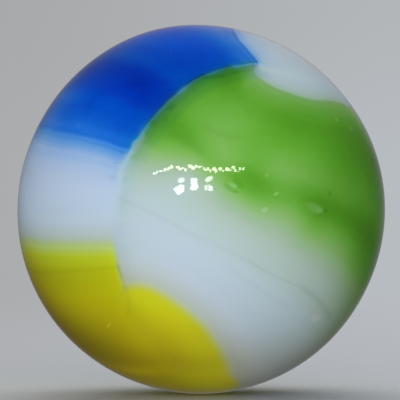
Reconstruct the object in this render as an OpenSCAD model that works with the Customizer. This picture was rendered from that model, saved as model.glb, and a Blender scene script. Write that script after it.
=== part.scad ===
// Playing marble: one solid ball of opaque glass.
// Frame: +Z up, origin at the centre of the ball, millimetres.
// The ball is drawn from a single gob, so the white body and the coloured
// patches are one piece with no inner boundary, core or clear shell.

/* [Ball] */
// Diameter of the ball (12.7 small, 15.9 standard, 25.4 shooter)
ball_d = 15.9; // [12.7:0.1:25.4]

/* [Colour] */
// Red of the white base glass
base_red = 0.80; // [0:0.01:1]
// Green of the white base glass
base_green = 0.86; // [0:0.01:1]
// Blue of the white base glass
base_blue = 0.93; // [0:0.01:1]

/* [Hidden] */
ball_r = ball_d / 2;
$fn = 96;

// The whole marble: a true ball, polished all over, with no flat to stand on
module marble() {
  color([base_red, base_green, base_blue])
    sphere(r = ball_r);
}

marble();
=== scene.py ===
import math
import bpy
import numpy as np
from mathutils import Matrix, Vector


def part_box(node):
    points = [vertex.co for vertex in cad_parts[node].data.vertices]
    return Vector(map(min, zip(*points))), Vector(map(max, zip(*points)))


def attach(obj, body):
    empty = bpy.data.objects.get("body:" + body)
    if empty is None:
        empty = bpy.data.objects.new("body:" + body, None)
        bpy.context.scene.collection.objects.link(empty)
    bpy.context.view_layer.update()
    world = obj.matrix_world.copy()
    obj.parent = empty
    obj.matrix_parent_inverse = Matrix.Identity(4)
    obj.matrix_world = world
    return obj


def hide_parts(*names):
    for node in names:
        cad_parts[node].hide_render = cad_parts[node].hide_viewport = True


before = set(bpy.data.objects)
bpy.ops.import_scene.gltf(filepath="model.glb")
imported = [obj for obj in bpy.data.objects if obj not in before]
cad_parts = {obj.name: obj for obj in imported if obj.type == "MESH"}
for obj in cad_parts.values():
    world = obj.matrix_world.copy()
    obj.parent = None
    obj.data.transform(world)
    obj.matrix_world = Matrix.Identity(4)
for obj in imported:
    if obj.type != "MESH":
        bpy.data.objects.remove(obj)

# The machine-made glass marble of the photo: opaque glass, white base with a blue and a yellow band
# on one half, and green running into white with a yellow foot on the other, cut off by one curved
# seam. Everything is in metres, in the CAD frame: the ball's centre is the origin, +Z is up and the
# photo looks along +Y.

CAD_LO, CAD_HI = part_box("marble")
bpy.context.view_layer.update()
R = (CAD_HI.z - CAD_LO.z) / 2
scene = bpy.context.scene
scene.view_settings.view_transform = 'Standard'
scene.view_settings.look = 'None'

# Places on the ball are given as (bearing, height) in degrees: bearing 0 faces the camera (-Y) and
# grows to the right, height 0 is the equator and 90 the top.


def axes(bearing, height):
    """Outward, rightward and upward unit vectors at a place."""
    p, l = math.radians(bearing), math.radians(height)
    out = (math.sin(p) * math.cos(l), -math.cos(p) * math.cos(l), math.sin(l))
    east = (math.cos(p), math.sin(p), 0.0)
    north = (-math.sin(p) * math.sin(l), math.cos(p) * math.sin(l), math.cos(l))
    return out, east, north


# ---------------------------------------------------------------- the pattern (used by the material)
# BEGIN PATTERN
# radius of each border about its own pole, in degrees, by the angle round that pole
SEAM_POLE = (30, -5)
SEAM = [(-180, 56), (-178, 56.35), (-176, 56.7), (-173.5, 56.9), (-171, 56.78), (-168.5, 56.57), (-166, 56.35),
        (-163.5, 56.34), (-161, 56.24), (-158.5, 56.2), (-156, 56.4), (-153, 58.74), (-150, 59.55), (-130, 59.6),
        (-112, 65), (-90, 74), (-70, 78), (-40, 74), (0, 63), (40, 62), (70, 59.5), (86, 56.24), (88.5, 55.92),
        (91, 56.29), (93.5, 56.32), (96, 56.08), (98.5, 56.06), (101, 56.29), (103.5, 56.3), (106, 56.26),
        (108.5, 56.32), (111, 56.31), (113.5, 56.46), (116, 56.47), (118.5, 56.54), (121, 56.38), (123.5, 56.39),
        (126, 56.21), (128.5, 56.22), (131, 56.3), (133.5, 56.14), (136, 56.23), (138.5, 56.23), (141, 56.43),
        (143.5, 56.41), (146, 56.44), (148.5, 56.51), (151, 57.27), (153.5, 57.05), (156, 56.94), (158.5, 57.03),
        (161, 57.24), (163.5, 56.92), (166, 56.29), (168.5, 56.19), (171, 56.32), (173.5, 55.95), (176, 55.92),
        (178, 55.85), (180, 56)]
CAP_POLE = (62, 62)
CAP_BLUE = [(-180, 16.86), (-178, 17.01), (-176, 17.38), (-174, 17.62), (-172, 18.05), (-170, 18.26),
            (-168, 19.13), (-166.5, 19.17), (-164.7, 20.2), (-158, 22), (-140, 24.5), (-105, 26), (-71, 28.6),
            (-45, 31), (-20, 36), (0, 40), (30, 40), (60, 28), (80, 20), (97, 15.5), (129, 13.6), (151, 14.32),
            (154, 14.6), (157, 14.63), (160, 14.76), (163, 14.99), (166, 15.15), (169, 15.42), (172, 15.72),
            (175, 16.03), (178, 16.45), (180, 16.63)]
CAP_GREEN = [(-180, 18), (-170, 20), (-165, 22.37), (-164.2, 23.52), (-163.3, 24.9), (-162.5, 25.48),
             (-161.3, 25.76), (-160, 26.34), (-157.9, 26.6), (-155.5, 26.9), (-153.3, 27.28), (-151, 27.61),
             (-148.5, 27.74), (-145, 27.96), (-142, 28.01), (-138, 27.85), (-134, 27.74), (-130, 27.74),
             (-126, 27.54), (-121, 27.4), (-116, 27.2), (-110, 26.71), (-105, 26.42), (-98, 26.06), (-90, 26.14),
             (-84, 26.57), (-79, 27.09), (-71, 28.6), (-45, 31), (-20, 36), (0, 40), (30, 40), (60, 28), (80, 20),
             (97, 15.5), (152, 14.5), (180, 18)]
FOOT_POLE = (-38, -51)
FOOT = [(-180, 32), (-100, 35), (-75, 40), (-60, 38), (-48, 34.51), (-38, 31.72), (-27, 30.77), (-21, 30.35),
        (-15, 30.21), (-9, 30.3), (-3, 30.16), (3, 30.45), (9, 30.77), (15, 30.94), (21, 31), (28, 31.24),
        (35, 31.49), (42, 31.73), (48, 31.92), (53, 31.75), (57, 31.24), (61, 30.65), (65, 29.28), (80, 28),
        (120, 30), (180, 32)]
# height of the blue band's lower edge and the yellow band's upper edge, by bearing
BLUE_EDGE = [(-180, 35), (-130, 29), (-90, 25), (-66, 23.99), (-60, 23.1), (-54, 22.65), (-48.6, 22.23),
             (-43, 21.54), (-38.7, 20.79), (-34.4, 20.07), (-30.3, 19.16), (-27.2, 18.14), (-20, 16.81), (0, 14),
             (60, 20), (120, 36), (150, 38), (180, 35)]
YELLOW_EDGE = [(-180, -16), (-140, -11), (-100, -8), (-73, -9.8), (-68, -9.57), (-63, -9.91), (-57, -10.38),
               (-51, -10.3), (-45, -10.37), (-39, -10.29), (-30, -10.13), (0, -10.1), (90, -12), (110, -15),
               (140, -18), (180, -16)]

# glass colours by how thick the tinted layer lies over the white
BLUE = [(0, (.488, .629, .828)), (.063, (.473, .589, .775)), (.26, (.343, .471, .791)), (.44, (.21, .369, .77)),
        (.66, (.118, .305, .749)), (.86, (.07, .268, .721)), (1.05, (.058, .217, .704)),
        (1.35, (.017, .162, .678)), (1.65, (.005, .126, .634)), (1.95, (.002, .095, .59)), (2.25, (0, .07, .544)),
        (2.55, (0, .058, .515)), (2.85, (.001, .04, .458)), (3.15, (0, .033, .44)), (3.6, (0, .019, .344))]
GREEN = [(-.1, (.543, .665, .767)), (.07, (.511, .652, .681)), (.22, (.473, .616, .563)), (.4, (.435, .586, .476)),
         (.65, (.379, .564, .371)), (.95, (.335, .557, .273)), (1.25, (.297, .544, .202)),
         (1.6, (.251, .522, .137)), (2, (.202, .501, .089)), (2.4, (.165, .468, .059)), (2.8, (.136, .432, .039)),
         (3.2, (.114, .392, .029)), (3.6, (.098, .358, .02)), (4, (.088, .319, .019)), (4.6, (.08, .292, .008)),
         (5.2, (.047, .221, 0))]
BELT_WHITE = [(-6, (.488, .649, .781)), (-3, (.505, .642, .795)), (-1, (.493, .624, .782)),
              (3, (.514, .645, .811)), (7, (.506, .635, .818)), (9, (.495, .622, .81)), (11, (.483, .597, .777)),
              (13, (.442, .561, .737)), (15, (.381, .547, .805))]

# thickness of the blue and of the green across a border, by distance from it in degrees
BLUE_RISE = [(-30, 0), (-14, 0), (-12, .007), (-10.5, .082), (-9, .128), (-8, .165), (-7, .19), (-6, .249),
             (-5, .288), (-4.2, .3), (-3.5, .33), (-2.8, .44), (-2.1, .505), (-1.5, .572), (-1, .631), (-.5, .635),
             (0, .75), (.5, .829), (1, .86), (1.5, .983), (2, 1.15), (2.5, 1.37), (3.5, 1.4), (4.5, 1.38),
             (5.5, 1.48), (7.5, 1.65), (10, 1.9), (12.5, 2.12), (20, 2.1), (90, 2.1)]
BLUE_RISE_SEAM = [(-30, 0), (-14, .02), (-12, .087), (-10.5, .083), (-9, .117), (-8, .147), (-7, .158), (-6, .192),
                  (-5, .261), (-4.2, .256), (-3.5, .328), (-2.8, .375), (-2.1, .466), (-1.5, .563), (-1, .623),
                  (-.5, .651), (0, .773), (.5, .952), (1, .899), (1.5, .993), (2, 1.32), (2.5, 1.45), (3.5, 1.44),
                  (4.5, 1.49), (5.5, 1.56), (7.5, 1.73), (10, 1.95), (12.5, 2.16), (20, 2.1), (90, 2.1)]
BLUE_CAP = [(-16, 0), (-13, .03), (-10.5, .054), (-8.5, .078), (-7, .099), (-5.5, .13), (-4, .157), (-3, .211),
            (-2, .247), (-1, .276), (-.2, .424), (.2, .633), (.6, 1), (1, .971), (1.8, .948), (3.5, .998), (6, .928)]
GREEN_FALL = [(0, 3), (60, 3), (78, 3.05), (84, 2.68), (87, 2.15), (89.5, 1.63), (92.3, 1.01), (96, .506),
              (101, .208), (106, .131), (112, .022), (118, 0), (180, 0)]
GREEN_CAP = [(-8, 0), (-6, .204), (-3, .049), (-2, .049), (-1, .08), (-.3, .145), (.3, .303), (1, .473), (2, .573),
             (3, .638), (5, .766), (7, .858), (9, .948), (11, 1.03), (14, 1.04)]
YELLOW_BAND = [(-12, 0), (-9, .004), (-7.5, .005), (-6, .013), (-5, .016), (-4.2, .02), (-3.5, .034), (-2.8, .073),
               (-2.1, .129), (-1.4, .203), (-.7, .262), (0, .351), (.7, .464), (1.4, .619), (2.1, .778),
               (2.8, .82), (3.5, .868), (4.2, .895), (5, .919), (6, .96), (8, .977), (12, 1)]
BAND_LINES = [(-9, 0), (-5, .016), (-3.5, .037), (-2.8, 0), (-2.1, .143), (-1.4, .097), (-.7, .085), (0, .326),
              (.7, .297), (1.4, .262), (2.1, .265), (2.8, .172), (3.5, .118), (4.2, .114), (5, .066), (6, .015),
              (7.5, 0), (9, .001), (11, .003), (14, .016), (20, 0)]
YELLOW_FOOT = [(-5, 0), (-3, .011), (-2, .02), (-1, .085), (0, .258), (1, .512), (2, .71), (3, .806), (4, .845),
               (5, .893), (6, .936), (7, .957), (8, .983), (10, 1)]

# along the seam: how much the green thins out beside it, and the strength of the pale line in it
SEAM_THIN = [(-180, .3), (-160, 0), (60, 0), (80, .683), (88, .616), (96, .599), (104, .419), (112, .534),
             (120, .564), (128, .52), (136, .505), (139, .469), (142, .357), (145, .343), (148, .31), (151, .655),
             (154, .543), (157, .882), (160, 1), (163, 1), (166, 1), (169, .96), (175, .171), (180, .008)]
SEAM_PALE = [(88, 0), (91, .175), (94, .201), (97, .186), (100, .226), (103, .027), (106, .072), (109, .114),
             (112, .09), (115, .012), (118, .042), (121, .077), (124, .187), (127, .085), (130, .065), (133, .074),
             (136, .084), (139, .075), (142, .158), (145, .203), (148, .242), (151, .292), (154, .263),
             (158, .036), (162, .035), (166, .012)]
SEAM_DARK = [(-180, .137), (-70, 0), (-30, .8), (80, .085), (84, .493), (88, 1), (92, .706), (96, .826), (100, 1),
             (104, .908), (108, 1), (112, 1), (116, 1), (120, 1), (124, .978), (128, 1), (132, 1), (136, 1),
             (140, 1), (144, .834), (148, .813), (152, .715), (156, .395), (161, .286), (166, .145), (172, .13),
             (180, 0)]
SEAM_CRISP = [(-180, .1), (-168, .375), (-160, .309), (-152, .254), (-144, .1), (-100, .1), (-85, .25), (-60, .5),
              (0, .8), (36, .8), (44, .3), (50, .14), (78, .14), (84, .2), (89, .5), (95, .817), (155, .993),
              (162, .975), (180, .1)]
SEAM_FINE = [(84, 2.06), (92, 1.81), (104, .741), (118, 1.06), (130, .96), (142, .849), (152, 1.13), (160, 1.13),
             (170, 1.16)]
WEDGE = [(84, 0), (92, 0), (100, .024), (110, 0), (118, 0), (126, .035), (134, 0), (140, .002), (144, .006),
         (148, .199), (152, .229), (156, .405), (162, .519), (170, .761)]
WEDGE_AT = [(130, .695), (140, -1.53), (148, 1.04), (152, 1.38), (156, -.124), (165, -.596)]
WEDGE_WHITE = (.483, .64, .732)
# where the glass changes and how its pale line and dark hem lie: change, pale centre, hem centre, hem reach
SEAM_LIE = (.046, -.023, -1.87, 2.84)
SEAM_PALE_TONE = (.037, .429, 1.11)
SEAM_DARK_TONE = (.365, .465, 1)
SEAM_HEM = [(80, .014), (90, .124), (98, .788), (106, .636), (114, .871), (122, .631), (130, .467), (138, .425),
            (146, .27), (154, .421), (162, .239), (170, .051)]
SEAM_HEM_TONE = (.537, 1, .4)
CAP_WHITE = (.548, .682, .743)

# the fine shading across each border, by distance from it: half the factor on red, green and blue
BAND_RIM = [(-9, (.5, .5, .5)), (-7, (.506, .505, .49)), (-5.6, (.511, .516, .471)), (-4.9, (.497, .513, .515)),
            (-4.2, (.498, .512, .483)), (-3.5, (.495, .519, .464)), (-2.8, (.487, .528, .469)),
            (-2.1, (.492, .514, .467)), (-1.4, (.49, .521, .467)), (-.7, (.487, .53, .467)),
            (0, (.494, .515, .469)), (.7, (.498, .499, .463)), (1.4, (.507, .486, .468)), (2.1, (.516, .47, .468)),
            (2.8, (.515, .467, .47)), (3.5, (.515, .47, .469)), (4.2, (.512, .478, .468)),
            (4.9, (.512, .483, .472)), (5.6, (.509, .485, .469)), (6.3, (.509, .492, .477)), (7, (.51, .5, .482)),
            (7.7, (.515, .504, .483)), (9, (.523, .519, .5)), (11, (.504, .507, .5)), (14, (.5, .5, .5))]
FOOT_RIM = [(-7, (.5, .5, .5)), (-5.5, (.501, .504, .613)), (-4.5, (.499, .501, .546)), (-3.8, (.5, .498, .451)),
            (-3.1, (.502, .501, .414)), (-2.4, (.496, .5, .466)), (-1.7, (.487, .498, .508)),
            (-1, (.475, .493, .468)), (-.3, (.47, .491, .48)), (.4, (.468, .485, .476)), (1.1, (.488, .495, .485)),
            (1.8, (.486, .486, .482)), (2.5, (.492, .478, .483)), (3.2, (.491, .47, .484)),
            (3.9, (.494, .472, .486)), (4.6, (.497, .474, .484)), (5.3, (.502, .479, .49)),
            (6, (.509, .485, .488)), (6.7, (.512, .488, .493)), (7.4, (.51, .491, .49)), (9, (.522, .501, .497)),
            (12, (.5, .5, .5))]
BLUE_RIM = [(-13, (.5, .5, .5)), (-11.5, (.491, .507, .512)), (-10, (.489, .512, .522)), (-8.5, (.495, .52, .52)),
            (-7.2, (.486, .52, .524)), (-6, (.471, .52, .521)), (-5, (.464, .526, .509)),
            (-4.2, (.457, .521, .515)), (-3.5, (.477, .535, .513)), (-2.8, (.467, .534, .505)),
            (-2.1, (.477, .553, .514)), (-1.4, (.478, .548, .508)), (-.7, (.442, .539, .518)),
            (0, (.461, .537, .517)), (.7, (.453, .5, .5)), (1.4, (.405, .528, .565)), (2.1, (.435, .54, .53)),
            (2.8, (.39, .498, .513)), (3.5, (.401, .51, .538)), (4.2, (.447, .517, .541)),
            (5.2, (.498, .512, .527)), (6.5, (.505, .488, .507)), (8, (.505, .475, .506)), (10, (.5, .485, .498)),
            (13, (.5, .5, .5))]
CAP_RIM_A = [(-60, (.5, .5, .5)), (-36, (.488, .482, .498)), (-22, (.485, .472, .491)), (-15, (.482, .464, .49)),
             (-12.5, (.47, .462, .501)), (-10.5, (.463, .463, .495)), (-8.8, (.462, .47, .494)),
             (-7, (.488, .49, .492)), (-5.5, (.499, .514, .483)), (-4.2, (.516, .534, .48)),
             (-3.2, (.568, .573, .481)), (-2.4, (.584, .587, .487)), (-1.6, (.516, .566, .499)),
             (-1.2, (.474, .548, .51)), (-.8, (.456, .554, .535)), (-.4, (.491, .566, .53)),
             (0, (.472, .496, .511)), (.4, (.642, .505, .443)), (.8, (.657, .575, .468)),
             (1.2, (.607, .529, .491)), (1.6, (.571, .566, .526)), (2, (.521, .529, .509)),
             (2.4, (.54, .55, .532)), (2.8, (.526, .533, .503)), (3.2, (.554, .519, .499)),
             (4, (.599, .525, .494)), (5, (.726, .527, .499)), (6.5, (.638, .491, .486)), (8.5, (.5, .5, .5))]
CAP_RIM_B = [(-8, (.5, .5, .5)), (-6.5, (.471, .471, .479)), (-5, (.469, .476, .478)), (-4, (.484, .491, .499)),
             (-3.2, (.478, .485, .484)), (-2.4, (.482, .489, .488)), (-1.7, (.466, .481, .465)),
             (-1.1, (.466, .487, .464)), (-.6, (.456, .505, .444)), (-.1, (.474, .514, .461)),
             (.4, (.458, .471, .501)), (.9, (.479, .475, .542)), (1.4, (.49, .479, .56)), (2, (.492, .474, .561)),
             (2.8, (.508, .485, .565)), (3.8, (.5, .481, .569)), (5, (.526, .494, .61)), (6.5, (.525, .495, .561)),
             (8.5, (.504, .504, .501)), (11, (.5, .5, .5))]
SEAM_RIM = [(-7, (.5, .5, .5)), (-5.5, (.426, .463, .554)), (-4.5, (.467, .484, .489)), (-3.7, (.491, .497, .517)),
            (-3, (.503, .493, .51)), (-2.4, (.526, .507, .527)), (-1.9, (.526, .515, .518)),
            (-1.5, (.44, .478, .467)), (-1.1, (.423, .466, .488)), (-.7, (.358, .424, .52)),
            (-.3, (.462, .479, .493)), (.1, (.509, .545, .478)), (.5, (.396, .486, .37)), (.9, (.618, .525, .42)),
            (1.3, (.504, .575, .479)), (1.7, (.637, .568, .489)), (2.1, (.497, .542, .49)),
            (2.5, (.544, .542, .493)), (3.2, (.48, .521, .485)), (4.2, (.546, .55, .5)), (5.5, (.484, .512, .501)),
            (7, (.5, .5, .5))]
SEAM_RIM_LOW = [(-7, (.5, .5, .5)), (-5, (.496, .492, .472)), (-3.8, (.496, .49, .467)), (-2.8, (.497, .481, .44)),
                (-2, (.498, .475, .433)), (-1.4, (.491, .476, .481)), (-.9, (.48, .477, .514)),
                (-.5, (.475, .484, .518)), (-.1, (.456, .479, .474)), (.3, (.47, .504, .428)),
                (.7, (.505, .532, .42)), (1.1, (.511, .546, .395)), (1.6, (.516, .538, .447)),
                (2.2, (.539, .54, .51)), (3, (.525, .518, .47)), (4, (.518, .516, .509)),
                (5.5, (.505, .503, .515)), (8, (.5, .5, .5))]
SEAM_SPAN_LOW = [(-180, 0), (-174, 0), (-168, 1), (-156, 1), (-150, 0), (180, 0)]
FALL_EDGE = [(-70, 0), (-45, .093), (-40, -.033), (-35, .055), (-30, -.165), (-25, .577), (-20, -.001),
             (-15, .443), (-10, -.001), (-5, .123), (0, .24), (5, .081), (10, .118), (15, .109), (20, .271),
             (25, .263), (30, .054), (35, .556), (40, .608), (45, .029), (50, .3), (55, 1.2), (60, 1.8),
             (65, 1.2), (70, .5), (75, .1), (100, 0)]
SEAM_SPAN = [(80, 0), (90, .5), (96, 1), (146, 1), (152, .6), (160, 0)]

# soft patches: bearing, height, reach along, reach across, turn, amount
BLUE_PATCH = [(-29.95, 49.29, 33.61, 16.11, -64.61, .94), (-33.53, 53.33, 20.86, 3.97, -22.46, -.384),
              (24.47, 62.04, 5.54, 29.75, 4.88, -.307), (-41.89, 35.44, 47.84, 4.11, -14.16, -.359),
              (-1.02, 49.87, 15.55, 16.52, 112.3, .458), (-57.49, 37.26, 42.33, 8.41, 112.2, .25),
              (-45.05, 36.79, 9.04, 5.07, -20.33, .343), (-42.74, 63.04, 35.02, 8.52, -22.76, -.484)]
# BLUE_SHADE: the first patch is painted shade, darkening the blue along its left side; the other two lighten the blue
# in patches
BLUE_SHADE = [(-87.23, 42.12, 54.07, 19.89, 56.65, -.867), (-28.72, 65.81, 23.71, 12.76, -6.11, .514),
              (-56.18, 40.23, 27.64, 12.02, 3.43, .34)]
BELT_DRIFT = [(-180, 6), (-150, 4), (-120, 1.2), (-94, 0), (0, 0), (80, -5), (110, -3), (150, 4), (180, 6)]
SHADE_SPAN = [(-180, 0), (-125, 0), (-110, .1), (-100, .25), (-92, .5), (-84, .85), (-78, 1), (90, 1), (120, 0), (180, 0)]
GREEN_PATCH = [(23.4, 14.91, 41.15, 12.4, -38.89, -1.34), (-4.02, -13.73, 57.5, 12.88, -52.08, -.141),
               (89.71, 11.15, 36.62, 11.73, -21.19, 2.27), (11.09, 48.57, 3.52, 8.7, -.647, 1.07),
               (16.24, 9.99, 8.95, 6.55, -77.7, 1.19), (44.45, .279, 39.9, 4.53, -19.64, 1.3),
               (-6.36, 25.06, 18.87, 3.65, -44.88, .572), (30.14, 26.7, 20.71, 8.77, 30.93, .77),
               (85.81, -31.02, 17.06, 23.78, 78, .979), (16.48, 13.26, 4.89, 16.47, 62.15, -1),
               (.615, 46.72, 7.68, 38.77, -41.98, 1.65), (37.6, -1.47, 7.49, 5.52, 64.27, .63),
               (6.05, 6.94, 6.75, 4, -2.97, -.033), (-.726, 12.23, 7.28, 6.15, 5.96, -.482),
               (17.66, 30.48, 12.8, 4.63, 30.26, -.056), (-2.28, 34.48, 8.89, 4.77, 50.14, -.247),
               (61.65, 7.35, 15.81, 10.1, 55, -.333), (31.84, -7.1, 21.68, 7.94, -36.15, .163)]
GREEN_SHADE = [(33.53, 24.2, 21.53, 11.36, -2.67, .143), (71.2, -32.98, 8.3, 39.81, 25.63, -.164),
               (26.98, -8.32, 50.08, 31.49, -9.11, .093)]
# the second patch in each of the next two lists is painted shade: it makes the yellow band darker and browner low on
# the left
BAND_DEPTH_AND_SHADE = [(-58.99, -19.92, 28.06, 5.62, -.718, -.194), (-69.03, -42.49, 40.24, 13.85, -35.69, -.672),
              (-25.21, -45.65, 7.92, 11.64, 121, .194), (-42.22, -59.01, 3.5, 12.86, 87.79, .314)]
BAND_TONE_AND_SHADE = [(-60.14, -13.38, 54.57, 8.89, -2.28, .18), (-77.29, -49.94, 44.62, 17.76, -88.32, -.311),
             (-30.31, -50.81, 22.66, 14.52, -55.24, -.185)]
FOOT_DEPTH = [(-10.89, -53.41, 39.4, 5.21, -5.28, -.169), (-14.27, -44.58, 31.31, 8.91, -1.39, -.108),
              (-18.19, -46.54, 30.34, 7.17, -67.3, -.149)]
FOOT_TONE = [(-18.97, -27.58, 5.01, 45, 66.28, .061), (-13.37, -54.44, 22.76, 4.18, 88.7, -.071),
             (-12.16, -53.2, 41.49, 7.31, -50.83, -.078)]

# hair lines: pole, radius, middle, half length, half width, strength
HAIRS = [((-55, -54.5), 63.49, (-13.1, -1.6), 12.9, .605, .051),
         ((-25, -52.8), 49.17, (9.1, -12.8), 11.8, 1.09, .03),
         ((52.8, 38.6), 64.02, (24.8, -19.3), 10.5, .399, .068),
         ((-22.4, -63.3), 54.88, (46.1, -29.8), 11.8, .937, .114),
         ((72, 47.3), 85.23, (20.3, -23.3), 13.4, .879, .03), ((-26.9, -38.4), 34.8, (-13, -6.5), 8.1, .562, .006),
         ((107.7, -80.5), 80.03, (-51.8, -19.6), 25, .743, .071),
         ((-63.6, -39.6), 82.51, (-44.3, 40.8), 21, .331, .007), ((-36.6, 33.5), 7.16, (-44.3, 35), 5, .864, .087),
         ((14.9, 40.1), 17.67, (6.5, 25.2), 6.6, .9, .065), ((-15.5, 1.6), 22.97, (-4.8, 21.2), 6.2, 1.5, .102),
         ((29.2, 39.5), 12.34, (18.2, 32.1), 5, .9, .025), ((3.5, -9.8), 24.54, (19.5, 8.4), 7, .744, .033),
         ((35.3, 36.1), 33.05, (30.7, 3.6), 7, .735, .025), ((-65.8, -21.2), 37.01, (-26.5, -18), 2.2, .466, .2),
         ((-40.4, -25.9), 13.66, (-26, -28.3), 5.3, .805, .069)]


# small specks, and shallow pits whose lighter spots are painted reflection: bearing, height, half length, half width,
# turn, amount, colour
FLECKS_AND_PIT_GLINTS = [(9.76, 8.02, 1.46, .694, -28.33, .333, (.34, .71, .264)),
          (10.55, 7.84, .582, .589, -22.19, .196, (.49, .761, .381)),
          (8.36, 7.36, 1.88, .757, -39.79, .27, (.027, .349, 0)),
          (10.58, 6.11, 1.19, .55, -9.25, .288, (.046, .287, .003)),
          (11.66, 8.56, 2.44, 1.13, -43.65, .361, (.086, .332, .012)),
          (38.51, .437, 1.44, .886, -30.85, .107, (.4, .658, .332)),
          (39.08, -.828, .931, .414, -5.59, .334, (0, .209, 0)),
          (37, .973, 3.52, 1.54, -21.01, .298, (.287, .604, .175)),
          (40.96, -.008, .725, .94, -27.91, .374, (.005, .212, 0)),
          (23.37, 5.35, .878, .529, 18.18, .428, (.42, .786, .188)),
          (19.56, .653, 1.24, .771, 23.58, .298, (.524, .776, .479)),
          (20.64, 10.99, .672, .644, -1.72, .355, (.325, .677, .114)),
          (43.22, 5.39, .711, .867, -13.13, .364, (.034, .24, 0)),
          (55.86, 28.92, .901, .842, 3.38, .198, (.411, .69, .185)),
          (62.97, 25.72, 1.57, .937, -1.04, .122, (.41, .607, .299)),
          (48.07, -34.59, 2.47, 1.55, -15.48, .418, (.705, .729, .739)),
          (-37.33, -37.04, 1.58, .31, 42.77, .49, (.736, .645, .052)),
          (-17.3, 58.09, .324, .251, .068, .277, (.143, .32, .76)),
          (-46.63, 27.05, .57, 1.03, 8.38, .27, (.05, .257, .885)),
          (29.31, 23.76, .378, .39, -.019, .239, (.131, .352, .037)),
          (-23.39, 9.61, 1.37, .979, 13.58, .166, (.264, .413, .478)),
          (-25.42, 18.08, .775, .573, -8.15, .453, (.053, .233, .512)),
          (-27.29, 14.73, 1.31, .27, .164, .488, (.173, .391, .547)),
          (-27.88, 10.44, 1.58, 1.11, -9.24, .294, (.3, .472, .551)),
          (5.41, 45.04, 4, 1.07, 6.34, .166, (0, .074, .007)),
          (15.36, 46.97, 1.97, .932, 18.65, .22, (.039, .14, 0)),
          (-10.47, 33.11, 1.84, 1.26, 54.72, .25, (.015, .11, .009)),
          (-16.44, 27.65, 1.34, 1.07, 45.36, .311, (.045, .192, 0)),
          (-12.08, 28.84, .919, .956, 38.45, .263, (.023, .209, 0))]


def polar(b, pole, side=1):
    out, east, north = axes(*pole)
    return b.atan2(b.dot([side * v for v in north]), b.dot([side * v for v in east])), b.acos(b.dot(out))


def patches(b, items, level):
    total = level
    for item in items:
        total = total + b.blob(*item[:5]) * item[5]
    return total


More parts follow.
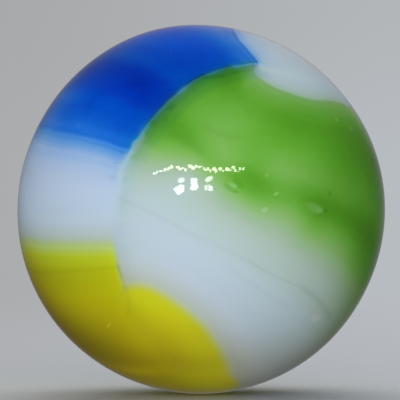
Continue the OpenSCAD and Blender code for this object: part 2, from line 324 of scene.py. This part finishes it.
def pattern(b):
    """The glass colour at every place of the ball, with painted shade and painted reflection in places."""
    bearing = b.atan2(b.x, -b.y)
    height = b.asin(b.z)
    turn, reach = polar(b, SEAM_POLE)
    seam = reach - b.curve(turn, SEAM)                 # below 0: the green half
    angle, reach = polar(b, CAP_POLE)
    cap_a = reach - b.curve(angle, CAP_BLUE)           # below 0: the white cap, against the blue
    cap_b = reach - b.curve(angle, CAP_GREEN)          # and against the green
    angle, reach = polar(b, FOOT_POLE)
    foot = reach - b.curve(angle, FOOT)                # below 0: the yellow foot of the green half
    angle, reach = polar(b, (113, 60.3), -1)
    fall = reach - b.curve(angle, FALL_EDGE)           # how far down the green has run
    blue_edge = height - b.curve(bearing, BLUE_EDGE)
    yellow_edge = height - b.curve(bearing, YELLOW_EDGE)

    # half with the blue band, the white belt and the yellow band
    by_seam = b.smooth(bearing, -58, -36) * (1 - b.smooth(bearing, 0, 40))
    rise = b.curve(blue_edge, BLUE_RISE)
    rise = rise + (b.curve(blue_edge, BLUE_RISE_SEAM) - rise) * by_seam
    u = rise * patches(b, BLUE_PATCH, .765) * b.curve(cap_a, BLUE_CAP)
    u = u * (b.noise(15, 3, (1, 1, 1), 1.7) * .03 + b.noise(3.2, 3, (1, 1, 9), 8.1) * .03 + 1)
    # painted shade along the blue's left side, with two lighter patches, faded out on the far side
    shade = patches(b, BLUE_SHADE, -.011) * b.curve(bearing, SHADE_SPAN) * (b.smooth(u, .1, .9) * .75 + .25)
    blue = b.scale(b.ramp(u, BLUE), b.exp(shade))
    belt = b.ramp(height - b.curve(bearing, BELT_DRIFT), BELT_WHITE)
    half_a = b.mix(b.smooth(blue_edge, -14, -8), belt, blue)
    half_a = b.filter(half_a, b.ramp(blue_edge, BLUE_RIM))
    # yellow band colour, with painted shade making it darker and browner low on the left
    depth = b.exp(patches(b, BAND_DEPTH_AND_SHADE, -.638))
    tone = b.exp(patches(b, BAND_TONE_AND_SHADE, .007))
    yellow = b.comb(depth, depth * tone, .006)
    half_a = b.mix(b.curve(yellow_edge, YELLOW_BAND), yellow, half_a)
    half_a = b.tint(half_a, b.curve(yellow_edge, BAND_LINES), (.7, .86, .5))
    half_a = b.filter(half_a, b.ramp(yellow_edge, BAND_RIM))
    blueness = b.smooth(u, .5, 1.6)
    half_a = b.tint(half_a, blueness * b.bell(seam - .2, .95), (1, .95, .62))
    half_a = b.filter(b.mix(b.smooth(cap_a, -1, -14), half_a, b.rgb(CAP_WHITE)), b.ramp(cap_a, CAP_RIM_A))

    # half with the green, its white and the yellow foot
    t = (b.curve(fall, GREEN_FALL) + patches(b, GREEN_PATCH, .044)) * b.curve(cap_b, GREEN_CAP)
    t = t * (b.noise(16, 3, (1, 1, 1.6), 4.3) * .035 + 1)
    t = t * (1 - b.bell(seam, 5) * b.curve(turn, SEAM_THIN))
    green = b.scale(b.ramp(t, GREEN), b.exp(patches(b, GREEN_SHADE, -.062)))
    # painted shade: the green half is made darker and warmer towards the bottom
    green = b.tint(green, b.smooth(height, -34, -56), (.95, .86, .76))
    depth = b.exp(patches(b, FOOT_DEPTH, -.401))
    tone = b.exp(patches(b, FOOT_TONE, -.027))
    yellow = b.comb(depth, depth * tone, .011)
    half_b = b.mix(b.curve(foot, YELLOW_FOOT), yellow, green)
    half_b = b.tint(half_b, b.bell(foot - 2, 1.5), (.96, .96, 1))
    half_b = b.filter(half_b, b.ramp(foot, FOOT_RIM))
    greenness = b.smooth(t, .8, 2)
    half_b = b.tint(half_b, b.bell(seam + .8, 3.6) * b.curve(turn, SEAM_DARK), SEAM_DARK_TONE)
    half_b = b.add(half_b, greenness * b.bell(seam, 4), (0, 0, .012))
    half_b = b.tint(half_b, b.bell(cap_b - .9, .6), (.93, .94, 1))
    half_b = b.filter(b.mix(b.smooth(cap_b, -1, -6), half_b, b.rgb(CAP_WHITE)), b.ramp(cap_b, CAP_RIM_B))

    colour = b.mix(b.smooth((seam - SEAM_LIE[0]) * b.curve(turn, SEAM_CRISP), .7, -.85), half_a, half_b)
    colour = b.tint(colour, b.bell(seam - SEAM_LIE[2], SEAM_LIE[3]) * b.curve(turn, SEAM_HEM), SEAM_HEM_TONE)
    colour = b.mix(b.curve(turn, SEAM_SPAN), colour, b.filter(colour, b.ramp(seam, SEAM_RIM)))
    colour = b.mix(b.curve(turn, SEAM_SPAN_LOW), colour, b.filter(colour, b.ramp(seam, SEAM_RIM_LOW)))
    # the thin pale line along the seam
    colour = b.add(colour, b.bell((seam - SEAM_LIE[1]) * b.curve(turn, SEAM_FINE), .95) * b.curve(turn, SEAM_PALE),
                   SEAM_PALE_TONE)
    colour = b.mix(b.bell(seam + b.curve(turn, WEDGE_AT), 1.1) * b.curve(turn, WEDGE), colour, b.rgb(WEDGE_WHITE))
    # hair lines
    for pole, radius, middle, half, width, strength in HAIRS:
        ring = b.bell(b.acos(b.dot(axes(*pole)[0])) - radius, width)
        c = math.cos(math.radians(half + 1.5)), math.cos(math.radians(max(.3, half - 1.5)))
        ring = ring * b.smooth(b.dot(axes(*middle)[0]), c[0], c[1])
        colour = b.scale(colour, 1 - ring * strength)
    # small specks, and painted reflection as lighter spots at the shallow pits
    for bearing, height, along, across, spin, amount, tone in FLECKS_AND_PIT_GLINTS:
        spot = b.smooth(b.blob(bearing, height, along, across, spin), .15, .75)
        colour = b.mix(spot * amount, colour, b.rgb(tone))
    return colour
# END PATTERN

# ---------------------------------------------------------------- node building
class Val:
    """A number inside a node tree, so that the pattern can be written as plain sums."""

    def __init__(self, graph, socket):
        self.g, self.s = graph, socket

    def _op(self, op, a, b):
        return self.g.math(op, a, b)

    def __add__(self, o): return self._op('ADD', self, o)
    def __radd__(self, o): return self._op('ADD', o, self)
    def __sub__(self, o): return self._op('SUBTRACT', self, o)
    def __rsub__(self, o): return self._op('SUBTRACT', o, self)
    def __mul__(self, o): return self._op('MULTIPLY', self, o)
    def __rmul__(self, o): return self._op('MULTIPLY', o, self)
    def __neg__(self): return self._op('MULTIPLY', self, -1.0)


class Graph:
    def __init__(self, tree):
        self.t = tree
        self.known = {}

    def node(self, kind, **props):
        n = self.t.nodes.new(kind)
        for k, v in props.items():
            setattr(n, k, v)
        return n

    def put(self, sock, val):
        if isinstance(val, Val):
            self.t.links.new(val.s, sock)
        elif isinstance(val, bpy.types.NodeSocket):
            self.t.links.new(val, sock)
        else:
            sock.default_value = val

    def math(self, op, *args, clamp=False):
        n = self.node("ShaderNodeMath", operation=op, use_clamp=clamp)
        for i, a in enumerate(args):
            self.put(n.inputs[i], a)
        return Val(self, n.outputs[0])

    def vmath(self, op, *args):
        n = self.node("ShaderNodeVectorMath", operation=op)
        for i, a in enumerate(args):
            self.put(n.inputs[i], a)
        return Val(self, n.outputs["Value"] if op in ("DOT_PRODUCT", "LENGTH") else n.outputs[0])


class Glass(Graph):
    """The pattern's sums as shader nodes."""

    def __init__(self, tree):
        super().__init__(tree)
        at = self.node("ShaderNodeTexCoord").outputs["Object"]
        turned = self.node("ShaderNodeMapping", vector_type='POINT')
        self.put(turned.inputs["Vector"], self.vmath("NORMALIZE", at))
        turned.inputs["Rotation"].default_value = (math.radians(.262), 0, math.radians(.165))
        self.n = Val(self, turned.outputs[0])
        xyz = self.node("ShaderNodeSeparateXYZ")
        self.put(xyz.inputs[0], self.n)
        self.x, self.y, self.z = (Val(self, s) for s in xyz.outputs)

    def dot(self, v):
        key = tuple(round(c, 6) for c in v)
        if key not in self.known:
            self.known[key] = self.vmath("DOT_PRODUCT", self.n, key)
        return self.known[key]

    def acos(self, a):
        return self.math("MULTIPLY", self.math("ARCCOSINE", a), 180 / math.pi)

    def asin(self, a):
        return self.math("MULTIPLY", self.math("ARCSINE", a), 180 / math.pi)

    def atan2(self, a, b):
        return self.math("MULTIPLY", self.math("ARCTAN2", a, b), 180 / math.pi)

    def exp(self, x):
        return self.math("EXPONENT", x)

    def bell(self, x, w):
        y = self.math("MULTIPLY", x, 1 / w)
        return self.math("EXPONENT", self.math("MULTIPLY", self.math("MULTIPLY", y, y), -1.0))

    def span(self, x, a, b, c, d, kind='LINEAR'):
        n = self.node("ShaderNodeMapRange", interpolation_type=kind, clamp=True)
        for i, v in enumerate((x, a, b, c, d)):
            self.put(n.inputs[i], v)
        return Val(self, n.outputs[0])

    def smooth(self, x, a, b):
        return self.span(x, a, b, 0.0, 1.0, 'SMOOTHSTEP')

    def curve(self, x, pts):
        lo, hi = pts[0][0], pts[-1][0]
        ys = [p[1] for p in pts]
        bottom, top = min(ys), max(ys)
        pad = (top - bottom) * .05
        bottom, top = bottom - pad, top + pad
        n = self.node("ShaderNodeFloatCurve")
        n.mapping.extend = 'HORIZONTAL'
        c = n.mapping.curves[0].points
        norm = [((x0 - lo) / (hi - lo), (y0 - bottom) / (top - bottom)) for x0, y0 in pts]
        while len(c) < len(norm):
            c.new(.5, .5)
        for p, q in zip(c, norm):
            p.location = q
            p.handle_type = 'AUTO_CLAMPED'
        n.mapping.update()
        self.put(n.inputs["Value"], self.span(x, lo, hi, 0.0, 1.0))
        return self.math("MULTIPLY_ADD", n.outputs[0], top - bottom, bottom)

    def ramp(self, x, stops):
        lo, hi = stops[0][0], stops[-1][0]
        n = self.node("ShaderNodeValToRGB")
        r = n.color_ramp
        r.interpolation = 'LINEAR'
        for i, (at, colour) in enumerate(stops):
            k = (at - lo) / (hi - lo)
            e = r.elements[0] if i == 0 else r.elements[-1] if i == len(stops) - 1 else r.elements.new(k)
            e.position = k
            e.color = (*colour, 1)
        self.put(n.inputs[0], self.span(x, lo, hi, 0.0, 1.0))
        return Val(self, n.outputs[0])

    def rgb(self, c):
        return (*c, 1)

    def comb(self, r, g, b):
        n = self.node("ShaderNodeCombineColor")
        for i, v in enumerate((r, g, b)):
            self.put(n.inputs[i], v)
        return Val(self, n.outputs[0])

    def _mix(self, kind, f, a, b):
        n = self.node("ShaderNodeMix", data_type='RGBA', blend_type=kind, clamp_result=False)
        self.put(n.inputs[0], f)
        self.put(n.inputs[6], a)
        self.put(n.inputs[7], b)
        return Val(self, n.outputs[2])

    def mix(self, f, a, b):
        return self._mix('MIX', f, a, b)

    def tint(self, c, f, rgb):
        return self._mix('MULTIPLY', f, c, (*rgb, 1))

    def add(self, c, f, rgb):
        return self._mix('ADD', f, c, (*rgb, 1))

    def filter(self, c, half):
        return self.scale(self._mix('MULTIPLY', 1.0, c, half), 2.0)

    def scale(self, c, f):
        return self.vmath_scale(c, f)

    def vmath_scale(self, c, f):
        n = self.node("ShaderNodeVectorMath", operation='SCALE')
        self.put(n.inputs[0], c)
        self.put(n.inputs["Scale"], f)
        return Val(self, n.outputs[0])

    def blob(self, bearing, height, along, across, turn):
        out, east, north = axes(bearing, height)
        c, s = math.cos(math.radians(turn)), math.sin(math.radians(turn))
        u = Vector(east) * c + Vector(north) * s
        v = Vector(north) * c - Vector(east) * s
        m = Matrix((u, v, Vector(out))).transposed()
        along, across = math.radians(along), math.radians(across)
        n = self.node("ShaderNodeMapping", vector_type='TEXTURE')
        self.put(n.inputs["Vector"], self.n)
        n.inputs["Location"].default_value = out
        n.inputs["Rotation"].default_value = m.to_euler('XYZ')
        n.inputs["Scale"].default_value = (along, across, math.sqrt(along * across))
        q = self.vmath("DOT_PRODUCT", n.outputs[0], n.outputs[0])
        return self.exp(self.math("MULTIPLY", q, -1.0))

    def noise(self, scale, detail=2.0, stretch=(1, 1, 1), shift=0.0):
        """Even noise about 0, roughly -1 to 1."""
        v = self.vmath("MULTIPLY_ADD", self.n, tuple(stretch), (shift, shift * 1.7, -shift))
        n = self.node("ShaderNodeTexNoise", noise_dimensions='3D')
        self.put(n.inputs["Vector"], v)
        n.inputs["Scale"].default_value = scale
        n.inputs["Detail"].default_value = detail
        n.inputs["Roughness"].default_value = .5
        return self.math("MULTIPLY_ADD", n.outputs[0], 4.0, -2.0)


# ---------------------------------------------------------------- the ball's mesh
def split(v, f, want):
    """Halve the wanted edges and share the new points between their faces."""
    e = np.concatenate([f[:, [0, 1]], f[:, [1, 2]], f[:, [2, 0]]])
    e.sort(axis=1)
    u, inv = np.unique(e, axis=0, return_inverse=True)
    inv = inv.reshape(-1)
    mid = v[u].mean(1)
    length = np.linalg.norm(v[u[:, 0]] - v[u[:, 1]], axis=1)
    mid /= np.linalg.norm(mid, axis=1, keepdims=True)
    mark = want(mid, length)
    new = np.full(len(u), -1)
    new[mark] = len(v) + np.arange(mark.sum())
    v = np.concatenate([v, mid[mark]])
    n = len(f)
    a, b, c = f.T
    ab, bc, ca = new[inv[:n]], new[inv[n:2 * n]], new[inv[2 * n:]]
    k = (ab >= 0).astype(int) + (bc >= 0) + (ca >= 0)
    out = [f[k == 0]]
    m = k == 3
    for tri in ((a, ab, ca), (ab, b, bc), (ca, bc, c), (ab, bc, ca)):
        out.append(np.stack([t[m] for t in tri], 1))
    for p, q, r, pq, qr, rp in ((a, b, c, ab, bc, ca), (b, c, a, bc, ca, ab), (c, a, b, ca, ab, bc)):
        m = (k == 1) & (pq >= 0)
        out.append(np.stack([p[m], pq[m], r[m]], 1))
        out.append(np.stack([pq[m], q[m], r[m]], 1))
        m = (k == 2) & (rp < 0)
        out.append(np.stack([pq[m], q[m], qr[m]], 1))
        out.append(np.stack([p[m], pq[m], qr[m]], 1))
        out.append(np.stack([p[m], qr[m], r[m]], 1))
    return v, np.concatenate(out)


# small cold marks: bearing, height, half length, half width, turn, depth in micrometres
MARKS = [(9.9, 7.8, 2.1, 1.1, -25, 9), (37.1, 1.3, 2.6, 1.3, -22, 14), (23.3, 5.5, .8, .7, 0, 6),
         (19.4, .9, .9, .7, 20, 6), (43, 5.3, .7, .6, 0, 7), (-37.9, -37.2, 1.3, .45, 55, 7),
         (-17.4, 58.1, .7, .6, 0, 5), (55.7, 29.3, .7, .6, 0, 5), (49.5, -34.6, 1.3, 1.1, 0, 5),
         (-140, 22, 2.2, 1.2, 30, 12), (128, -31, 1.8, .9, -40, 10), (165, 40, 1.2, .8, 10, 8),
         (-112, -8, 1.0, .8, 0, 8), (-160, -45, 1.6, .7, 70, 9)]


def height_of(n):
    """The ball's radius in every direction: round, a touch out of true, with shallow marks."""
    r = np.full(len(n), 1.0)
    r += .0009 * (3 * (n @ np.array(axes(40, 55)[0])) ** 2 - 1) / 2
    r -= .0007 * (3 * (n @ np.array(axes(-60, 5)[0])) ** 2 - 1) / 2
    # broad flats and swellings, as seen on the outline: bearing, height, reach, rise in micrometres
    for bearing, height, reach, rise in ((90, 58, 24, -40), (-90, 74, 17, 48), (-90, 24, 20, -42), (90, -27, 16, -18),
                                         (-90, -40, 25, 14), (90, 0, 14, 10), (90, 39, 11, -30), (-90, 66, 26, 20),
                                         (-90, 0, 10, -20)):
        d = n - np.array(axes(bearing, height)[0])
        r += rise * 1e-6 / R * np.exp(-(d * d).sum(1) / math.radians(reach) ** 2)
    a, b = n @ np.array(axes(20, -30)[0]), n @ np.array(axes(100, 10)[0])
    r += .00022 * np.sin(5.1 * a + 2.3 * b) * np.cos(4.3 * b - 1.0)
    for bearing, height, along, across, turn, depth in MARKS:
        out, east, north = (np.array(q) for q in axes(bearing, height))
        c, s = math.cos(math.radians(turn)), math.sin(math.radians(turn))
        m = n - out
        u = m @ (c * east + s * north) / math.radians(along)
        v = m @ (c * north - s * east) / math.radians(across)
        d = u * u + v * v + (m @ out) ** 2 * 900
        r -= depth * 1e-6 / R * np.exp(-d * d * .7)
    return r


def build_ball(name):
    t = (1 + 5 ** .5) / 2
    v = np.array([(-1, t, 0), (1, t, 0), (-1, -t, 0), (1, -t, 0), (0, -1, t), (0, 1, t),
                  (0, -1, -t), (0, 1, -t), (t, 0, -1), (t, 0, 1), (-t, 0, -1), (-t, 0, 1)], float)
    v /= np.linalg.norm(v, axis=1, keepdims=True)
    f = np.array([(0, 11, 5), (0, 5, 1), (0, 1, 7), (0, 7, 10), (0, 10, 11), (1, 5, 9), (5, 11, 4),
                  (11, 10, 2), (10, 7, 6), (7, 1, 8), (3, 9, 4), (3, 4, 2), (3, 2, 6), (3, 6, 8),
                  (3, 8, 9), (4, 9, 5), (2, 4, 11), (6, 2, 10), (8, 6, 7), (9, 8, 1)])
    for _ in range(6):
        v, f = split(v, f, lambda mid, length: np.ones(len(length), bool))
    spots = [(np.array(axes(m[0], m[1])[0]), math.radians(m[2] * 1.9 + .5), math.radians(m[3] / 5)) for m in MARKS]

    def near(mid, length):
        mark = np.zeros(len(length), bool)
        for out, reach, fine in spots:
            mark |= (np.linalg.norm(mid - out, axis=1) < reach) & (length > fine)
        return mark
    for _ in range(3):
        v, f = split(v, f, near)
    r = height_of(v)
    # exact normals from the slope of the radius
    step = 2e-4
    side = np.cross(v, np.where(np.abs(v[:, 2:]) < .9, [[0, 0, 1.]], [[1., 0, 0]]))
    side /= np.linalg.norm(side, axis=1, keepdims=True)
    up = np.cross(v, side)
    normal = v * r[:, None]
    for d in (side, up):
        p, q = v + d * step, v - d * step
        p /= np.linalg.norm(p, axis=1, keepdims=True)
        q /= np.linalg.norm(q, axis=1, keepdims=True)
        normal -= d * ((height_of(p) - height_of(q)) / (2 * step))[:, None]
    normal /= np.linalg.norm(normal, axis=1, keepdims=True)
    me = bpy.data.meshes.new(name)
    me.from_pydata((v * (r * R)[:, None]).tolist(), [], f.tolist())
    me.update()
    me.shade_smooth()
    me.normals_split_custom_set_from_vertices(normal.tolist())
    o = bpy.data.objects.new(name, me)
    scene.collection.objects.link(o)
    return o


marble = build_ball("patched_ball")
mat = bpy.data.materials.new("patched_glass")
mat.use_nodes = True
glass = Glass(mat.node_tree)
skin = mat.node_tree.nodes["Principled BSDF"]
glass.put(skin.inputs["Base Color"], pattern(glass))
skin.inputs["Roughness"].default_value = .03
skin.inputs["IOR"].default_value = 1.5
marble.data.materials.append(mat)
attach(marble, "root")
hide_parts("marble")

# ---------------------------------------------------------------- the floor
FLOOR_R = .16
me = bpy.data.meshes.new("floor")
ring = [(FLOOR_R * math.cos(k * math.tau / 96), FLOOR_R * math.sin(k * math.tau / 96), 0) for k in range(96)]
me.from_pydata([(0, 0, 0)] + ring, [], [(0, k + 1, (k + 1) % 96 + 1) for k in range(96)])
floor = bpy.data.objects.new("floor", me)
floor.location.z = min(v.co.z for v in marble.data.vertices)
scene.collection.objects.link(floor)
floor.visible_diffuse = False
floor.visible_glossy = False
floor.visible_shadow = False
fm = bpy.data.materials.new("pale_floor")
fm.use_nodes = True
g = Graph(fm.node_tree)
fs = fm.node_tree.nodes["Principled BSDF"]
fs.inputs["Roughness"].default_value = .9
fs.inputs["Specular IOR Level"].default_value = 0.0
at = g.node("ShaderNodeTexCoord").outputs["Object"]
far = g.vmath("LENGTH", at)
fade = g.node("ShaderNodeMapRange", interpolation_type='SMOOTHERSTEP')
for i, v in enumerate((far, .022, .14, 0.0, 1.0)):
    g.put(fade.inputs[i], v)
grain = g.node("ShaderNodeTexNoise")
g.put(grain.inputs["Vector"], at)
grain.inputs["Scale"].default_value = 900.0
# painted light: the floor is coloured lighter towards +X, following the brighter backdrop on that side
place = g.node("ShaderNodeSeparateXYZ")
g.put(place.inputs[0], at)
painted_light_across = g.node("ShaderNodeMapRange", interpolation_type='SMOOTHSTEP')
for i, v in enumerate((place.outputs[0], -.03, .03, 0.0, 1.0)):
    g.put(painted_light_across.inputs[i], v)
tone = g.node("ShaderNodeMix", data_type='RGBA')
g.put(tone.inputs[0], painted_light_across.outputs[0])
tone.inputs[6].default_value = (.405, .412, .424, 1)
tone.inputs[7].default_value = (.468, .495, .53, 1)
speck = g.math("MULTIPLY_ADD", grain.outputs[0], .06, .97)
shade = g.node("ShaderNodeVectorMath", operation='SCALE')
g.put(shade.inputs[0], tone.outputs[2])
g.put(shade.inputs["Scale"], speck)
g.put(fs.inputs["Base Color"], shade.outputs[0])
clear = g.node("ShaderNodeBsdfTransparent")
both = g.node("ShaderNodeMixShader")
g.put(both.inputs[0], fade.outputs[0])
g.put(both.inputs[1], fs.outputs[0])
g.put(both.inputs[2], clear.outputs[0])
g.put(fm.node_tree.nodes["Material Output"].inputs[0], both.outputs[0])
me.materials.append(fm)

# ---------------------------------------------------------------- the soft studio light
world = bpy.data.worlds.new("studio")
scene.world = world
world.use_nodes = True
wt = world.node_tree
wt.nodes.clear()
w = Graph(wt)
d = w.node("ShaderNodeTexCoord").outputs["Generated"]


def lobes(items, base):
    total = base
    for direction, power, gain in items:
        unit = tuple(Vector(direction).normalized())
        c = w.math("MAXIMUM", w.vmath("DOT_PRODUCT", d, unit), 0.0)
        total = w.math("POWER", c, float(power)) * gain + total
    return total


soft = lobes([((0, -1, 0), 4, 2.655), ((0, -1, .7), 4, .109), ((-1, 0, 0), 4, .792), ((0, 1, 1), 4, 3.303)], 0.0)
gloss = lobes([((.1, 1, .5), 6, .15), ((.12, 1, 0), 14, .14), ((.15, 1, .28), 55, .065)], .025)
ray = w.node("ShaderNodeLightPath")
xyz = w.node("ShaderNodeSeparateXYZ")
w.put(xyz.inputs[0], d)


def glide(value, lo, hi):
    n = w.node("ShaderNodeMapRange", interpolation_type='SMOOTHSTEP')
    for i, v in enumerate((value, lo, hi, 0.0, 1.0)):
        w.put(n.inputs[i], v)
    return n.outputs[0]


def blend(f, a, b):
    n = w.node("ShaderNodeMix", data_type='RGBA')
    for i, v in ((0, f), (6, a), (7, b)):
        w.put(n.inputs[i], v)
    return n.outputs[2]


across = glide(xyz.outputs[0], -.06, .06)
low = blend(across, (.404, .412, .42, 1), (.478, .507, .543, 1))
high = blend(across, (.39, .396, .407, 1), (.45, .47, .488, 1))
wall = blend(glide(xyz.outputs[2], -.012, .034), low, high)
room = blend(glide(xyz.outputs[2], .4, .75), (1.06, 1, 1, 1), (.66, 1, 1, 1))


def background(colour, strength):
    n = w.node("ShaderNodeBackground")
    w.put(n.inputs["Color"], colour)
    w.put(n.inputs["Strength"], strength)
    return n.outputs[0]


def either(f, a, b):
    n = w.node("ShaderNodeMixShader")
    for i, v in enumerate((f, a, b)):
        w.put(n.inputs[i], v)
    return n.outputs[0]


lit = either(ray.outputs["Is Glossy Ray"], background((1, 1, 1, 1), soft), background(room, gloss))
seen = either(ray.outputs["Is Camera Ray"], lit, background(wall, 1.0))
end = w.node("ShaderNodeOutputWorld")
w.put(end.inputs[0], seen)

# ---------------------------------------------------------------- the camera
DIST = .180
TILT = math.radians(1.0)
MIDDLE = (200.85, 209.55)
F_PX = 184.1 / math.tan(math.asin(R / DIST))
eye = Vector((0, -math.cos(TILT), math.sin(TILT))) * DIST
ahead = -eye.normalized()
right = Vector((1, 0, 0))
up = right.cross(ahead)
look = (ahead - right * ((MIDDLE[0] - 200) / F_PX) + up * ((MIDDLE[1] - 200) / F_PX)).normalized()
cam = bpy.data.cameras.new("camera")
cam.sensor_width = 36
cam.lens = 36 * F_PX / 400
cam.clip_start, cam.clip_end = .01, 3
camera = bpy.data.objects.new("camera", cam)
scene.collection.objects.link(camera)
back = -look
side = up.cross(back).normalized()
m = Matrix((side, back.cross(side), back)).transposed().to_4x4()
m.translation = eye
camera.matrix_world = m
scene.camera = camera

# ---------------------------------------------------------------- the small lamps behind the highlights
LAMP_FAR = .022
LAMP_SPREAD = math.radians(32)


def lamp(x, y, wide, high, turn, bright, colour=(1, 1, 1), shape='ELLIPSE', name="lamp"):
    """A lamp that the ball mirrors at photo place (x, y), wide and high in photo pixels."""
    ray_to = (ahead + right * ((x - MIDDLE[0]) / F_PX) - up * ((y - MIDDLE[1]) / F_PX)).normalized()
    b = ray_to.dot(eye)
    t = -b - math.sqrt(b * b - eye.dot(eye) + R * R)
    p = eye + ray_to * t
    n = p.normalized()
    mirror = ray_to - 2 * ray_to.dot(n) * n
    light = bpy.data.lights.new(name, 'AREA')
    light.shape = shape
    scale = (2 * LAMP_FAR + R) / 184
    light.size, light.size_y = wide * scale, high * scale
    light.spread = LAMP_SPREAD
    gather = math.tan(LAMP_SPREAD / 2) / (math.tan(LAMP_SPREAD / 2) - LAMP_SPREAD / 2)
    light.color = colour
    area = light.size * light.size_y * (math.pi / 4 if shape in ('ELLIPSE', 'DISK') else 1)
    light.energy = bright * math.pi * area / gather
    o = bpy.data.objects.new(name, light)
    x_axis = Vector((0, 0, 1)).cross(mirror).normalized()
    m = Matrix((x_axis, mirror.cross(x_axis), mirror)).transposed()
    spin = Matrix.Rotation(math.radians(turn), 3, 'Z')
    m = (m @ spin).to_4x4()
    m.translation = p + mirror * LAMP_FAR
    o.matrix_world = m
    o.visible_camera = False
    o.visible_diffuse = False
    o.visible_transmission = False
    scene.collection.objects.link(o)
    return o


# a string of small lamps: place, width and height in photo pixels, brightness, tint
WARM, CREAM, PLAIN, COOL = (1, .95, .78), (1, .98, .84), (1, .98, .93), (.95, 1, .94)
CHAIN = [(153.9, 173.6, 3.4, 2.5, 15.4, COOL), (156.6, 172.3, 2.4, 2.5, 17.4, COOL),
         (160.2, 171.0, 4.1, 1.6, 19.7, PLAIN), (164.4, 169.8, 3.1, 3.5, 15.6, PLAIN),
         (168.0, 168.9, 4.4, 3.4, 13.6, WARM), (171.2, 166.8, 3.1, 3.7, 16.6, WARM),
         (172.5, 167.9, 1.3, 1.7, 9, WARM), (177.2, 167.3, 3.5, 2.7, 17.0, WARM),
         (179.9, 169.4, 3.1, 2.6, 16.0, WARM), (182.4, 168.3, 3.3, 1.7, 15.9, WARM),
         (185.0, 169.9, 2.6, 3.3, 15.7, WARM), (189.8, 166.4, 4.5, 3.6, 16.1, CREAM),
         (192.8, 168.2, 4.3, 3.6, 15.7, CREAM), (196.0, 166.3, 3.2, 2.6, 14.1, COOL),
         (198.6, 167.8, 2.4, 1.4, 11.5, COOL), (200.0, 166.8, 5.0, 1.0, 21, COOL),
         (203.5, 168.2, 2.6, 1.7, 11.1, COOL), (204.2, 169.5, 2.4, 2.4, 10.6, COOL),
         (205.8, 170.2, 2.4, 1.5, 17.9, CREAM), (207.8, 168.8, 2.2, 3.3, 17.9, CREAM),
         (210.2, 171.1, 2.0, 3.4, 15.5, CREAM), (214.1, 169.2, 4.4, 3.7, 17.0, CREAM),
         (215.4, 171.7, 1.7, 4.3, 12.0, CREAM), (216.5, 171.2, 2.2, 2.3, 16.0, CREAM),
         (220.3, 169.1, 4.0, 3.1, 18.6, CREAM), (223.0, 171.1, 2.4, 1.4, 20.2, CREAM),
         (225.7, 169.3, 1.2, 2.1, 9, CREAM), (227.3, 169.6, 4.5, 4.2, 18.4, CREAM),
         (230.4, 170.4, 3.5, 2.2, 9, CREAM), (233.0, 167.6, 3.8, 3.0, 18.2, CREAM),
         (235.3, 170.9, 2.8, 3.2, 17.5, CREAM), (238.5, 172.0, 2.1, 1.2, 12.0, CREAM),
         (240.0, 169.0, 2.4, 3.4, 15.5, CREAM), (243.4, 168.9, 1.9, 2.5, 21, CREAM)]
for x, y, wide, high, bright, tint in CHAIN:
    lamp(x, y, wide, high, 0, bright, tint, name="bulb")
# the panes of a soft box
PANES = [(180.9, 180.3, 7.2, 5.2, 15, 'ELLIPSE', 12), (181.8, 187.7, 4.3, 5.4, 5, 'RECTANGLE', 14),
         (178.3, 190.2, 7.6, 8.0, 36, 'RECTANGLE', 14), (193.7, 181.4, 6.9, 6.5, 1, 'RECTANGLE', 14),
         (194.0, 187.3, 8.2, 6.6, 16, 'ELLIPSE', 14), (208.8, 179.2, 8.5, 4.6, 28, 'ELLIPSE', 14),
         (205.4, 187.9, 2.3, 5.6, 5, 'ELLIPSE', 12), (210.7, 188.3, 4.1, 5.8, 0, 'ELLIPSE', 15),
         (207.9, 187.5, 3.4, 7.1, 3, 'ELLIPSE', 8)]
HAZE = [(194, 184.5, 58, 30, .45), (194, 184.5, 49, 24, .55), (194, 184.5, 41, 18, .55)]
for x, y, wide, high, bright in HAZE:
    lamp(x, y, wide, high, 0, bright, (.8, .68, 1), name="haze")
for x, y, wide, high, turn, shape, bright in PANES:
    lamp(x, y, wide, high, turn, bright, (1, 1, 1), shape, name="pane")
